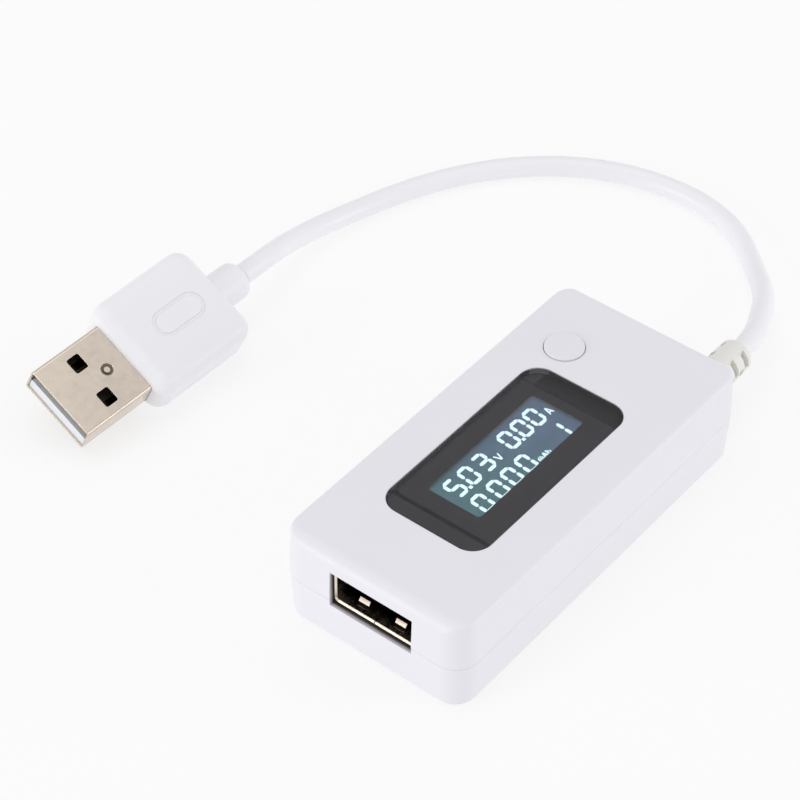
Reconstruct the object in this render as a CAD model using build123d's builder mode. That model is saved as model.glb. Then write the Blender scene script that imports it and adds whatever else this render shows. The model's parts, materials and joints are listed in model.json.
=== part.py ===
from build123d import *
import os
from math import pi, radians, tan

# USB power meter: a two-shell housing with a display, a reset button and a socket at one end,
# and a short lead with a moulded plug at the other. All sizes are in millimetres.
# Frame: origin at the bottom centre of the housing, +X towards the lead, +Y towards the tops
# of the display's digits, +Z up. The socket opens towards -X.

os.makedirs("parts", exist_ok=True)

# ---- driving dimensions -------------------------------------------------------------------

# Housing
case_length = 63.0
case_width = 30.0
case_height = 15.0
seam_height = 7.4
corner_radius = 3.6
wall = 1.5
roof = 1.8
floor_thickness = 1.5
top_draft = 2.2
bottom_draft = 3.0
end_round = 1.9
side_round = 0.75
bottom_round = 0.8
seam_round = 0.14
top_rise = case_height - seam_height
roof_underside = case_height - roof
end_inner_x = case_length / 2 - wall
side_inner_y = case_width / 2 - wall

# Snap tabs that hold the two shells together
tab_x = (-8.0, 18.0)
tab_width = 6.0
tab_thickness = 0.9
tab_top = 10.0
tab_root = 2.0
tab_root_height = 1.4
barb_height = 0.6
barb_width = 4.0
barb_recess_width = 4.6
barb_depth = 0.35
barb_z = 9.1
snap_gap = 0.08

# Display: lens, printed border, glass, film, backlight and its carrier
lens_length = 34.0
lens_width = 16.3
lens_corner = 3.0
lens_thickness = 0.9
lens_centre = (-2.5, 0.1)
lens_gap = 0.1
lens_sink = 0.05
border_thickness = 0.08
view_length = 22.9
view_width = 8.6
view_corner = 0.6
view_centre = (-1.55, 0.8)
roof_window_length = 31.0
roof_window_width = 13.8
glass_length = 26.0
glass_width = 12.4
glass_thickness = 0.6
film_thickness = 0.1
display_centre = (-1.6, 0.6)
glass_top = 13.8
light_length = 24.4
light_width = 11.4
light_thickness = 1.8
carrier_wall = 0.9
carrier_ledge = 0.7
carrier_gap = 0.1
film_top = glass_top - glass_thickness
film_bottom = film_top - film_thickness
rear_glass_bottom = film_bottom - glass_thickness
light_bottom = rear_glass_bottom - light_thickness
lens_bottom = case_height - lens_sink - lens_thickness

# Digits
digit_width = 1.75
digit_height = 2.95
stroke = 0.52
stroke_gap = 0.05
digit_lean = 0.06
top_row_y = 1.35
bottom_row_y = -3.15
volt_digit_x = (-10.85, -7.85, -4.75)
amp_digit_x = (0.75, 3.65, 6.4)
charge_digit_x = (-10.75, -7.45, -4.45, -1.35)
step_digit_x = 6.75
point_x = (-8.5, 3.05)
point_side = 0.5

# Circuit board and what is soldered on it
board_x = (-29.6, 26.4)
board_width = 24.6
board_thickness = 1.2
board_top = 6.8
board_corner = 1.0
board_bottom = board_top - board_thickness
post_places = ((-12.0, -10.4), (-12.0, 10.4), (15.5, -10.4), (15.5, 10.4))
post_radius = 1.6
pin_radius = 0.6
pin_gap = 0.1
pin_rise = 0.5
column_places = ((-5.0, -11.0), (-5.0, 11.0), (11.0, -11.0), (11.0, 11.0))
column_radius = 1.1
solder_lift = 0.02
chip_standoff = 0.15
chip_draft = 6
controller_centre = (-1.5, 0.2)
controller_size = (9.9, 3.8, 1.5)
controller_pins = (1.27, 8, 5.2)
regulator_centre = (19.5, -3.0)
regulator_size = (2.9, 1.4, 1.1)
regulator_pins = (0.95, 3, 2.8)
pin_width = 0.4
pin_foot = 1.0
pin_sheet = 0.2
pin_riser = 0.8
shunt_centre = (18.5, -8.6)
shunt_size = (3.2, 6.3, 0.6)
resistor_row_centre = (-2.0, 8.9)
resistor_count = 5
resistor_height = 0.45
capacitor_row_centre = (0.0, -9.6)
capacitor_count = 4
capacitor_height = 0.8
passive_size = (1.6, 0.8)
passive_pitch = 2.6
tantalum_centre = (25.1, 3.5)
tantalum_size = (2.2, 4.6, 1.9)
body_edge = 0.2
led_size = (1.6, 3.0, 0.8)
led_offset = 9.5
strip_width = 1.0

# Button and the switch under it
button_centre = (19.5, 6.8)
button_radius = 2.85
button_hole_radius = 2.95
button_rise = 0.3
button_flange_radius = 3.9
button_flange_thickness = 0.8
button_stem_radius = 1.6
button_edge = 0.18
switch_side = 6.2
switch_height = 3.3
switch_plate = 0.25
switch_well_radius = 2.4
switch_well_depth = 1.7
plunger_radius = 1.7
plunger_top = 11.2
plunger_flange_radius = 2.1
plunger_flange_thickness = 0.55
switch_top = board_top + switch_height
stack_gap = 0.05
dome_radius = 1.9
dome_rise = 0.45
dome_sheet = 0.1
dome_foot_gap = 0.03
dome_knee = 0.55
dome_knee_rise = 0.75
leg_span = switch_side + 0.3
leg_pitch = 4.5
leg_width = 0.7
leg_sheet = 0.25
leg_height = 1.4
leg_foot = 1.0
leg_foot_height = 0.2

# Socket
socket_y = -0.3
socket_front = -case_length / 2 + 0.87
socket_length = 13.8
socket_width = 13.1
socket_height = 5.5
socket_sheet = 0.3
socket_bottom = board_top
socket_centre_z = socket_bottom + socket_height / 2
socket_back = socket_front + socket_length
socket_opening_width = 13.34
socket_opening_top = 12.4
socket_opening_bottom = 6.5
socket_opening_depth = 4.0
socket_edge = 0.22
seam_gap = 0.12
finger_y = 3.0
finger_width = 1.7
finger_slot_width = 2.6
finger_slot_front = 1.0
finger_slot_length = 5.5
finger_tip = 1.6
finger_lift = 0.6
tongue_width = 11.1
tongue_thickness = 1.8
tongue_underside = 9.62
tongue_setback = 1.1
tongue_chamfer = 0.25
socket_block = 3.2
contact_y = (-3.5, -1.0, 1.0, 3.5)
contact_width = 1.0
contact_thickness = 0.25

# Lead: strain relief, jacket, wires
lead_radius = 1.6
relief_y = -8.3
relief_z = seam_height
relief_end = 40.6
relief_root_radius = 2.75
relief_end_radius = 2.5
relief_neck_radius = 2.35
relief_flange = 7.0
relief_flange_x = (28.2, 29.8)
relief_end_round = 0.4
relief_slot = 0.95
relief_slot_web = 1.35
relief_slot_overlap = 0.2
relief_upper_slot_x = (33.95, 36.55, 39.15)
relief_lower_slot_x = (35.25, 37.85)
wire_radius = 0.42
wire_names = ("red", "white", "green", "black")
wire_pad_y = (-11.2, -8.9, -6.6, -4.3)
wire_pad_x = 22.6
relief_bore_gap = 0.02

# Plug: a shell, an insulator and four contacts in a soft overmould
plug_origin = (-14.2, 58.9, 6.32)
plug_heading = 176.3
plug_dip = 2.5
plug_roll = -27.2
overmould_length = 18.5
overmould_width = 16.6
overmould_thickness = 7.8
overmould_corner = 2.6
overmould_round = 2.1
collar_radius = 2.9
collar_length = 5.3
collar_round = 1.3
plug_shell_width = 12.0
plug_shell_height = 4.5
plug_sheet = 0.3
plug_visible = 12.5
plug_buried = 5.5
window_x = 6.45
window_y = 3.15
window_length = 2.2
window_width = 2.5
dimple_x = 3.6
dimple_radius = 0.95
dimple_depth = 0.22
dimple_boss_radius = 0.55
dimple_boss_rise = 0.16
insulator_thickness = 1.9
insulator_setback = 0.3
plug_contact_setback = 1.8
plug_contact_length = 8.0
plug_contact_groove = 0.3
plug_contact_sheet = 0.22
plug_shell_corner = 0.5
plug_edge = 0.1
bore_gap = 0.04
emblem_length = 9.0
emblem_width = 4.2
emblem_line = 0.5
emblem_depth = 0.09
overmould_front = 0.35
emblem_offset = 0.6
lead_straight = 5.5

# Route of the lead, from the strain relief's end to the plug's collar. It leaves straight
# along +X, comes down to the floor, lies in one loose arc and rises into the collar.
lead_route = [
    (relief_end, relief_y, relief_z),
    (44.8, -8.3, 7.4),
    (51.7, -5.3, 5.8),
    (57.9, -2.0, 3.4),
    (63.6, 3.4, 1.62),
    (69.4, 10.2, 1.62),
    (71.9, 19.0, 1.62),
    (71.0, 28.6, 1.62),
    (67.4, 37.6, 1.62),
    (61.3, 45.4, 1.62),
    (53.6, 51.4, 1.62),
    (45.2, 55.6, 1.62),
    (36.6, 58.4, 1.7),
    (28.4, 59.4, 3.0),
    (20.6, 58.7, 5.3),
]


# ---- shared helpers -----------------------------------------------------------------------


def corner_radii(points):
    """The arc for each inner point of a route: 0.45 of the shorter run over tan(half turn)."""
    radii = []
    for before, here, after in zip(points, points[1:], points[2:]):
        run_in = Vector(*here) - Vector(*before)
        run_out = Vector(*after) - Vector(*here)
        turn = run_in.get_angle(run_out)
        shorter = min(run_in.length, run_out.length)
        radii.append(0.45 * shorter / tan(radians(turn / 2)))
    return radii


# ---- housing ------------------------------------------------------------------------------

socket_opening_size = (socket_opening_depth, socket_opening_width)
top_inset = top_rise * tan(radians(top_draft))

with BuildPart() as top_cover:
    with BuildSketch(Plane.XY.offset(seam_height)):
        RectangleRounded(case_length, case_width, corner_radius)
    extrude(amount=top_rise, taper=top_draft)
    # Broad rounds over the two ends, cut by the cover's outline seen from the side.
    with BuildSketch(Plane.XZ) as side_outline:
        with BuildLine():
            Polyline(
                (-case_length / 2, seam_height),
                (top_inset - case_length / 2, case_height),
                (case_length / 2 - top_inset, case_height),
                (case_length / 2, seam_height),
                close=True,
            )
        make_face()
        fillet(side_outline.vertices().group_by(Axis.Y)[-1], end_round)
    extrude(amount=case_width, both=True, mode=Mode.INTERSECT)
    # Crisp rounds along the two long sides.
    rim = top_cover.faces().sort_by(Axis.Z)[-1].edges()
    fillet(rim - rim.filter_by(Axis.Y), side_round)
    # A fine groove shows where the two covers meet.
    fillet(top_cover.faces().sort_by(Axis.Z)[0].edges(), seam_round)
    with BuildSketch(Plane.XY.offset(seam_height)):
        RectangleRounded(case_length - 2 * wall, case_width - 2 * wall, corner_radius - wall)
    extrude(amount=top_rise - roof, taper=top_draft, mode=Mode.SUBTRACT)
    # Pocket for the lens, and the window under it.
    with BuildSketch(Plane.XY.offset(lens_bottom - border_thickness)):
        with Locations(lens_centre):
            RectangleRounded(lens_length + 2 * lens_gap, lens_width + 2 * lens_gap, lens_corner + lens_gap)
    extrude(amount=roof, mode=Mode.SUBTRACT)
    with BuildSketch(Plane.XY.offset(roof_underside - 1)):
        with Locations(lens_centre):
            RectangleRounded(roof_window_length, roof_window_width, 1.5)
    extrude(amount=roof + 1, mode=Mode.SUBTRACT)
    # Hole for the button.
    with BuildSketch(Plane.XY.offset(roof_underside - 1)):
        with Locations(button_centre):
            Circle(button_hole_radius)
    extrude(amount=roof + 2, mode=Mode.SUBTRACT)
    # Columns that press on the circuit board.
    with BuildSketch(Plane.XY.offset(board_top)):
        with Locations(*column_places):
            Circle(column_radius)
    extrude(amount=roof_underside - board_top + 0.1)
    # Upper part of the socket's opening, and the upper half of the lead's exit.
    with BuildSketch(Plane.XY.offset(seam_height)):
        with Locations((-case_length / 2, socket_y)):
            Rectangle(*socket_opening_size)
    extrude(amount=socket_opening_top - seam_height, mode=Mode.SUBTRACT)
    with BuildSketch(Plane.YZ.offset(end_inner_x - 1)):
        with Locations((relief_y, relief_z)):
            Circle(relief_neck_radius)
    extrude(amount=wall + 2, mode=Mode.SUBTRACT)
    # Recesses for the barbs of the snap tabs.
    for side in (-1, 1):
        with BuildSketch(Plane.XY.offset(barb_z - snap_gap)):
            with Locations(*[(x, side * (side_inner_y + barb_depth / 2)) for x in tab_x]):
                Rectangle(barb_recess_width, barb_depth + 4 * snap_gap)
        extrude(amount=barb_height + 2 * snap_gap, mode=Mode.SUBTRACT)
top_cover.part.label = "top_cover"
export_step(top_cover.part, "parts/top_cover.step")

with BuildPart() as bottom_cover:
    with BuildSketch(Plane.XY.offset(seam_height)):
        RectangleRounded(case_length, case_width, corner_radius)
    extrude(amount=-seam_height, taper=bottom_draft)
    fillet(bottom_cover.faces().sort_by(Axis.Z)[0].edges(), bottom_round)
    fillet(bottom_cover.faces().sort_by(Axis.Z)[-1].edges(), seam_round)
    with BuildSketch(Plane.XY.offset(seam_height)):
        RectangleRounded(case_length - 2 * wall, case_width - 2 * wall, corner_radius - wall)
    extrude(amount=floor_thickness - seam_height, taper=bottom_draft, mode=Mode.SUBTRACT)
    # Posts under the circuit board, with locating pins.
    with BuildSketch(Plane.XY.offset(floor_thickness - 0.1)):
        with Locations(*post_places):
            Circle(post_radius)
    extrude(amount=board_bottom - floor_thickness + 0.1)
    with BuildSketch(Plane.XY.offset(board_bottom - 0.1)):
        with Locations(*post_places):
            Circle(pin_radius)
    extrude(amount=board_thickness + pin_rise)
    # Snap tabs that reach up inside the top cover, each with a barb.
    for side in (-1, 1):
        with BuildSketch(Plane.XY.offset(seam_height - tab_root)):
            with Locations(*[(x, side * (side_inner_y - 2 * snap_gap - tab_thickness / 2)) for x in tab_x]):
                Rectangle(tab_width, tab_thickness)
        extrude(amount=tab_top - seam_height + tab_root)
        with BuildSketch(Plane.XY.offset(seam_height - tab_root)):
            with Locations(*[(x, side * (side_inner_y - tab_thickness / 2)) for x in tab_x]):
                Rectangle(tab_width, tab_thickness)
        extrude(amount=tab_root_height)
        with BuildSketch(Plane.XY.offset(barb_z)):
            with Locations(*[(x, side * (side_inner_y - 0.3 + barb_depth / 2)) for x in tab_x]):
                Rectangle(barb_width, barb_depth + 0.3)
        extrude(amount=barb_height)
    # Lower lip of the socket's opening, and the lower half of the lead's exit.
    with BuildSketch(Plane.XY.offset(socket_opening_bottom)):
        with Locations((-case_length / 2, socket_y)):
            Rectangle(*socket_opening_size)
    extrude(amount=seam_height, mode=Mode.SUBTRACT)
    with BuildSketch(Plane.YZ.offset(end_inner_x - 1)):
        with Locations((relief_y, relief_z)):
            Circle(relief_neck_radius)
    extrude(amount=wall + 2, mode=Mode.SUBTRACT)
bottom_cover.part.label = "bottom_cover"
export_step(bottom_cover.part, "parts/bottom_cover.step")

# ---- display ------------------------------------------------------------------------------

with BuildPart() as display_lens:
    with BuildSketch(Plane.XY.offset(lens_bottom)):
        with Locations(lens_centre):
            RectangleRounded(lens_length, lens_width, lens_corner)
    extrude(amount=lens_thickness)
    chamfer(display_lens.faces().sort_by(Axis.Z)[-1].edges(), 0.1)
display_lens.part.label = "display_lens"
export_step(display_lens.part, "parts/display_lens.step")

with BuildPart() as lens_border:
    with BuildSketch(Plane.XY.offset(lens_bottom - border_thickness)):
        with Locations(lens_centre):
            RectangleRounded(lens_length, lens_width, lens_corner)
        with Locations(view_centre):
            RectangleRounded(view_length, view_width, view_corner, mode=Mode.SUBTRACT)
    extrude(amount=border_thickness)
lens_border.part.label = "lens_border"
export_step(lens_border.part, "parts/lens_border.step")

with BuildPart() as lcd_front_glass:
    with BuildSketch(Plane.XY.offset(film_top)):
        with Locations(display_centre):
            Rectangle(glass_length, glass_width)
    extrude(amount=glass_thickness)
lcd_front_glass.part.label = "lcd_front_glass"
export_step(lcd_front_glass.part, "parts/lcd_front_glass.step")

with BuildPart() as lcd_rear_glass:
    with BuildSketch(Plane.XY.offset(rear_glass_bottom)):
        with Locations(display_centre):
            Rectangle(glass_length, glass_width)
    extrude(amount=glass_thickness)
lcd_rear_glass.part.label = "lcd_rear_glass"
export_step(lcd_rear_glass.part, "parts/lcd_rear_glass.step")


# Which strokes each numeral lights: top, upper right, lower right, bottom, lower left,
# upper left, middle.
lit_strokes = {
    "0": (1, 1, 1, 1, 1, 1, 0),
    "1": (0, 1, 1, 0, 0, 0, 0),
    "3": (1, 1, 1, 1, 0, 0, 1),
    "5": (1, 0, 1, 1, 0, 1, 1),
}


def bar(start, end):
    """The sketch of one stroke with pointed ends, along a straight line."""
    along = (Vector(*end) - Vector(*start)).normalized()
    across = Vector(-along.Y, along.X) * (stroke / 2)
    first = Vector(*start) + along * stroke_gap
    last = Vector(*end) - along * stroke_gap
    tip = along * (stroke / 2)
    with BuildSketch() as outline:
        with BuildLine():
            Polyline(first, first + tip + across, last - tip + across, last,
                     last - tip - across, first + tip - across, close=True)
        make_face()
    return outline.sketch


def numeral(character, x, y):
    """The lit strokes of a leaning seven-stroke numeral with its lower left corner at x, y."""
    half = digit_height / 2
    left, right = x, x + digit_width

    def node(column, row):
        return (column + digit_lean * row * half, y + row * half)

    strokes = (
        (node(left, 2), node(right, 2)),
        (node(right, 2), node(right, 1)),
        (node(right, 1), node(right, 0)),
        (node(left, 0), node(right, 0)),
        (node(left, 1), node(left, 0)),
        (node(left, 2), node(left, 1)),
        (node(left, 1), node(right, 1)),
    )
    return [bar(start, end) for lit, (start, end) in zip(lit_strokes[character], strokes) if lit]


reading = []
for character, x in zip("503", volt_digit_x):
    reading += numeral(character, x, top_row_y)
for x in amp_digit_x:
    reading += numeral("0", x, top_row_y)
for x in charge_digit_x:
    reading += numeral("0", x, bottom_row_y)
reading += numeral("1", step_digit_x, bottom_row_y)

with BuildPart() as lcd_segments:
    with BuildSketch(Plane.XY.offset(film_bottom)):
        add(reading)
        with Locations(*[(x, top_row_y) for x in point_x]):
            Rectangle(point_side, point_side)
    extrude(amount=film_thickness)
lcd_segments.part.label = "lcd_segments"
export_step(lcd_segments.part, "parts/lcd_segments.step")

with BuildPart() as backlight_panel:
    with BuildSketch(Plane.XY.offset(light_bottom)):
        with Locations(display_centre):
            RectangleRounded(light_length, light_width, 0.5)
    extrude(amount=light_thickness)
backlight_panel.part.label = "backlight_panel"
export_step(backlight_panel.part, "parts/backlight_panel.step")

carrier_length = glass_length + 2 * carrier_wall
carrier_width = glass_width + 2 * carrier_wall
with BuildPart() as display_carrier:
    with BuildSketch(Plane.XY.offset(board_top + solder_lift)):
        with Locations(display_centre):
            RectangleRounded(carrier_length, carrier_width, 0.8)
    extrude(amount=film_bottom - board_top - solder_lift)
    # Seat for the rear glass, seat for the backlight, and the open space under it.
    with BuildSketch(Plane.XY.offset(rear_glass_bottom)):
        with Locations(display_centre):
            Rectangle(glass_length + 2 * carrier_gap, glass_width + 2 * carrier_gap)
    extrude(amount=2, mode=Mode.SUBTRACT)
    with BuildSketch(Plane.XY.offset(light_bottom)):
        with Locations(display_centre):
            RectangleRounded(light_length + 2 * carrier_gap, light_width + 2 * carrier_gap, 0.6)
    extrude(amount=light_thickness + 1, mode=Mode.SUBTRACT)
    with BuildSketch(Plane.XY.offset(board_top)):
        with Locations(display_centre):
            Rectangle(light_length - 2 * carrier_ledge, light_width - 2 * carrier_ledge)
    extrude(amount=light_bottom - board_top + 1, mode=Mode.SUBTRACT)
display_carrier.part.label = "display_carrier"
export_step(display_carrier.part, "parts/display_carrier.step")

# Contact strip: alternating rubber strip that joins the rear glass to the board.
strip_y = display_centre[1] + light_width / 2 - carrier_ledge - 0.6
with BuildPart() as contact_strip:
    with BuildSketch(Plane.XY.offset(board_top + solder_lift)):
        with Locations((display_centre[0], strip_y)):
            Rectangle(light_length - 2 * carrier_ledge - 0.4, strip_width)
    extrude(amount=light_bottom - board_top - 2 * solder_lift)
contact_strip.part.label = "contact_strip"
export_step(contact_strip.part, "parts/contact_strip.step")

with BuildPart() as backlight_led:
    with BuildSketch(Plane.XY.offset(board_top + solder_lift)):
        with Locations((display_centre[0] - led_offset, display_centre[1])):
            Rectangle(*led_size[:2])
    extrude(amount=led_size[2])
    fillet(backlight_led.edges().filter_by(Axis.Z), body_edge)
backlight_led.part.label = "backlight_led"
export_step(backlight_led.part, "parts/backlight_led.step")

# ---- circuit board ------------------------------------------------------------------------

board_length = board_x[1] - board_x[0]
board_middle = (board_x[0] + board_x[1]) / 2
socket_leg_x = socket_back - 1.2
socket_tab_x = socket_front + 9.0

with BuildPart() as circuit_board:
    with BuildSketch(Plane.XY.offset(board_bottom)):
        with Locations((board_middle, 0)):
            RectangleRounded(board_length, board_width, board_corner)
        with Locations(*post_places):
            Circle(pin_radius + pin_gap, mode=Mode.SUBTRACT)
        with Locations(*[(socket_leg_x, socket_y + y) for y in contact_y]):
            Rectangle(1.0, 1.2, mode=Mode.SUBTRACT)
        with Locations(*[(socket_tab_x, socket_y + side * (socket_width - socket_sheet) / 2) for side in (-1, 1)]):
            SlotOverall(3.0, 0.9, mode=Mode.SUBTRACT)
    extrude(amount=board_thickness)
circuit_board.part.label = "circuit_board"
export_step(circuit_board.part, "parts/circuit_board.step")


def chip(centre, length, width, height):
    """A moulded chip body with tapered sides, standing just off the board."""
    with BuildPart() as body:
        with BuildSketch(Plane.XY.offset(board_top + chip_standoff)):
            with Locations(centre):
                Rectangle(length, width)
        extrude(amount=height, taper=chip_draft)
    return body


def chip_leads(centre, pitch, count, span):
    """Bent leads along both long sides of a chip: a foot on the board and a riser."""
    with BuildPart() as leads:
        for side in (-1, 1):
            with BuildSketch(Plane.XY.offset(board_top + solder_lift)):
                with Locations((centre[0], centre[1] + side * span / 2)):
                    with GridLocations(pitch, 0, count, 1):
                        Rectangle(pin_width, pin_foot)
            extrude(amount=pin_sheet)
            with BuildSketch(Plane.XY.offset(board_top + solder_lift)):
                with Locations((centre[0], centre[1] + side * (span / 2 - pin_width))):
                    with GridLocations(pitch, 0, count, 1):
                        Rectangle(pin_width, pin_sheet)
            extrude(amount=pin_riser)
    return leads


meter_chip = chip(controller_centre, *controller_size)
meter_chip.part.label = "meter_chip"
export_step(meter_chip.part, "parts/meter_chip.step")

meter_chip_leads = chip_leads(controller_centre, *controller_pins)
meter_chip_leads.part.label = "meter_chip_leads"
export_step(meter_chip_leads.part, "parts/meter_chip_leads.step")

voltage_regulator = chip(regulator_centre, *regulator_size)
voltage_regulator.part.label = "voltage_regulator"
export_step(voltage_regulator.part, "parts/voltage_regulator.step")

voltage_regulator_leads = chip_leads(regulator_centre, *regulator_pins)
voltage_regulator_leads.part.label = "voltage_regulator_leads"
export_step(voltage_regulator_leads.part, "parts/voltage_regulator_leads.step")

with BuildPart() as shunt_resistor:
    with BuildSketch(Plane.XY.offset(board_top + solder_lift)):
        with Locations(shunt_centre):
            Rectangle(*shunt_size[:2])
    extrude(amount=shunt_size[2])
    fillet(shunt_resistor.edges().filter_by(Axis.Z), body_edge)
shunt_resistor.part.label = "shunt_resistor"
export_step(shunt_resistor.part, "parts/shunt_resistor.step")

with BuildPart() as chip_resistors:
    with BuildSketch(Plane.XY.offset(board_top + solder_lift)):
        with GridLocations(passive_pitch, 0, resistor_count, 1):
            with Locations(resistor_row_centre):
                Rectangle(*passive_size)
    extrude(amount=resistor_height)
chip_resistors.part.label = "chip_resistors"
export_step(chip_resistors.part, "parts/chip_resistors.step")

with BuildPart() as chip_capacitors:
    with BuildSketch(Plane.XY.offset(board_top + solder_lift)):
        with GridLocations(passive_pitch, 0, capacitor_count, 1):
            with Locations(capacitor_row_centre):
                Rectangle(*passive_size)
    extrude(amount=capacitor_height)
chip_capacitors.part.label = "chip_capacitors"
export_step(chip_capacitors.part, "parts/chip_capacitors.step")

with BuildPart() as filter_capacitor:
    with BuildSketch(Plane.XY.offset(board_top + solder_lift)):
        with Locations(tantalum_centre):
            Rectangle(*tantalum_size[:2])
    extrude(amount=tantalum_size[2])
    fillet(filter_capacitor.edges().filter_by(Axis.Z), body_edge)
filter_capacitor.part.label = "filter_capacitor"
export_step(filter_capacitor.part, "parts/filter_capacitor.step")

# ---- button and switch --------------------------------------------------------------------

button_top = case_height + button_rise
flange_top = roof_underside - 2 * stack_gap

with BuildPart() as button_cap:
    with BuildSketch(Plane.XY.offset(plunger_top + stack_gap)):
        with Locations(button_centre):
            Circle(button_stem_radius)
    extrude(amount=flange_top - plunger_top - stack_gap)
    with BuildSketch(Plane.XY.offset(flange_top)):
        with Locations(button_centre):
            Circle(button_flange_radius)
    extrude(amount=-button_flange_thickness)
    with BuildSketch(Plane.XY.offset(flange_top - 0.2)):
        with Locations(button_centre):
            Circle(button_radius)
    extrude(amount=button_top - flange_top + 0.2)
    fillet(button_cap.faces().sort_by(Axis.Z)[-1].edges(), button_edge)
button_cap.part.label = "button_cap"
export_step(button_cap.part, "parts/button_cap.step")

well_floor = switch_top - switch_well_depth
with BuildPart() as switch_base:
    with BuildSketch(Plane.XY.offset(board_top + solder_lift)):
        with Locations(button_centre):
            RectangleRounded(switch_side, switch_side, 0.4)
    extrude(amount=switch_height - solder_lift)
    with BuildSketch(Plane.XY.offset(switch_top)):
        with Locations(button_centre):
            Circle(switch_well_radius)
    extrude(amount=-switch_well_depth, mode=Mode.SUBTRACT)
switch_base.part.label = "switch_base"
export_step(switch_base.part, "parts/switch_base.step")

with BuildPart() as switch_plate_cover:
    with BuildSketch(Plane.XY.offset(switch_top)):
        with Locations(button_centre):
            RectangleRounded(switch_side - 0.2, switch_side - 0.2, 0.4)
            Circle(plunger_radius + 0.1, mode=Mode.SUBTRACT)
    extrude(amount=switch_plate)
switch_plate_cover.part.label = "switch_plate"
export_step(switch_plate_cover.part, "parts/switch_plate.step")

# The snap dome: a thin shell, domed upwards, standing on the floor of the well.
with BuildPart() as switch_dome:
    with BuildSketch(Plane.XZ):
        with BuildLine():
            Polyline(
                (0, dome_rise),
                (dome_knee * dome_radius, dome_knee_rise * dome_rise),
                (dome_radius, 0),
                (dome_radius - dome_sheet, 0),
                (dome_knee * dome_radius - dome_sheet, dome_knee_rise * dome_rise - dome_sheet),
                (0, dome_rise - dome_sheet),
                close=True,
            )
        make_face()
    revolve(axis=Axis.Z)
switch_dome.part.position = (button_centre[0], button_centre[1], well_floor + dome_foot_gap)
switch_dome.part.label = "switch_dome"
export_step(switch_dome.part, "parts/switch_dome.step")

plunger_foot = well_floor + dome_foot_gap + dome_rise + stack_gap
with BuildPart() as switch_plunger:
    with BuildSketch(Plane.XY.offset(plunger_foot)):
        with Locations(button_centre):
            Circle(plunger_flange_radius)
    extrude(amount=plunger_flange_thickness)
    with BuildSketch(Plane.XY.offset(plunger_foot)):
        with Locations(button_centre):
            Circle(plunger_radius)
    extrude(amount=plunger_top - plunger_foot)
switch_plunger.part.label = "switch_plunger"
export_step(switch_plunger.part, "parts/switch_plunger.step")

with BuildPart() as switch_legs:
    with BuildSketch(Plane.XY.offset(board_top + solder_lift)):
        with Locations(button_centre):
            with GridLocations(leg_span, leg_pitch, 2, 2):
                Rectangle(leg_sheet, leg_width)
    extrude(amount=leg_height)
    for side in (-1, 1):
        with BuildSketch(Plane.XY.offset(board_top + solder_lift)):
            with Locations((button_centre[0] + side * (leg_span + leg_foot) / 2, button_centre[1])):
                with GridLocations(0, leg_pitch, 1, 2):
                    Rectangle(leg_foot, leg_width)
        extrude(amount=leg_foot_height)
switch_legs.part.label = "switch_legs"
export_step(switch_legs.part, "parts/switch_legs.step")

# ---- socket -------------------------------------------------------------------------------

socket_face = Plane(origin=(socket_front, socket_y, socket_centre_z), x_dir=(0, -1, 0), z_dir=(-1, 0, 0))
inner_width = socket_width - 2 * socket_sheet
inner_height = socket_height - 2 * socket_sheet


def spring_finger(side, y):
    """A bent retention finger of the socket's wall; side is -1 at the bottom, 1 at the top."""
    wall_z = side * (inner_height / 2)
    root = socket_front + finger_slot_front + finger_slot_length + 0.3
    tip = socket_front + finger_tip
    with BuildPart() as finger:
        with BuildSketch(Plane(origin=(0, socket_y + y, socket_centre_z), x_dir=(1, 0, 0), z_dir=(0, -1, 0))):
            with BuildLine():
                Polyline(
                    (root, wall_z + side * socket_sheet),
                    (root, wall_z),
                    (tip + 1.1, wall_z - side * finger_lift),
                    (tip + 0.4, wall_z - side * finger_lift),
                    (tip, wall_z - side * 0.1),
                    (tip, wall_z + side * 0.15),
                    (tip + 0.2, wall_z + side * 0.15),
                    (tip + 0.6, wall_z - side * (finger_lift - 0.25)),
                    (tip + 1.0, wall_z - side * (finger_lift - 0.25)),
                    (root - 0.6, wall_z + side * socket_sheet),
                    close=True,
                )
            make_face()
        extrude(amount=finger_width / 2, both=True)
    return finger.part


fingers = [spring_finger(side, y) for side in (-1, 1) for y in (-finger_y, finger_y)]
slot_x = socket_front + finger_slot_front + finger_slot_length / 2

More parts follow.
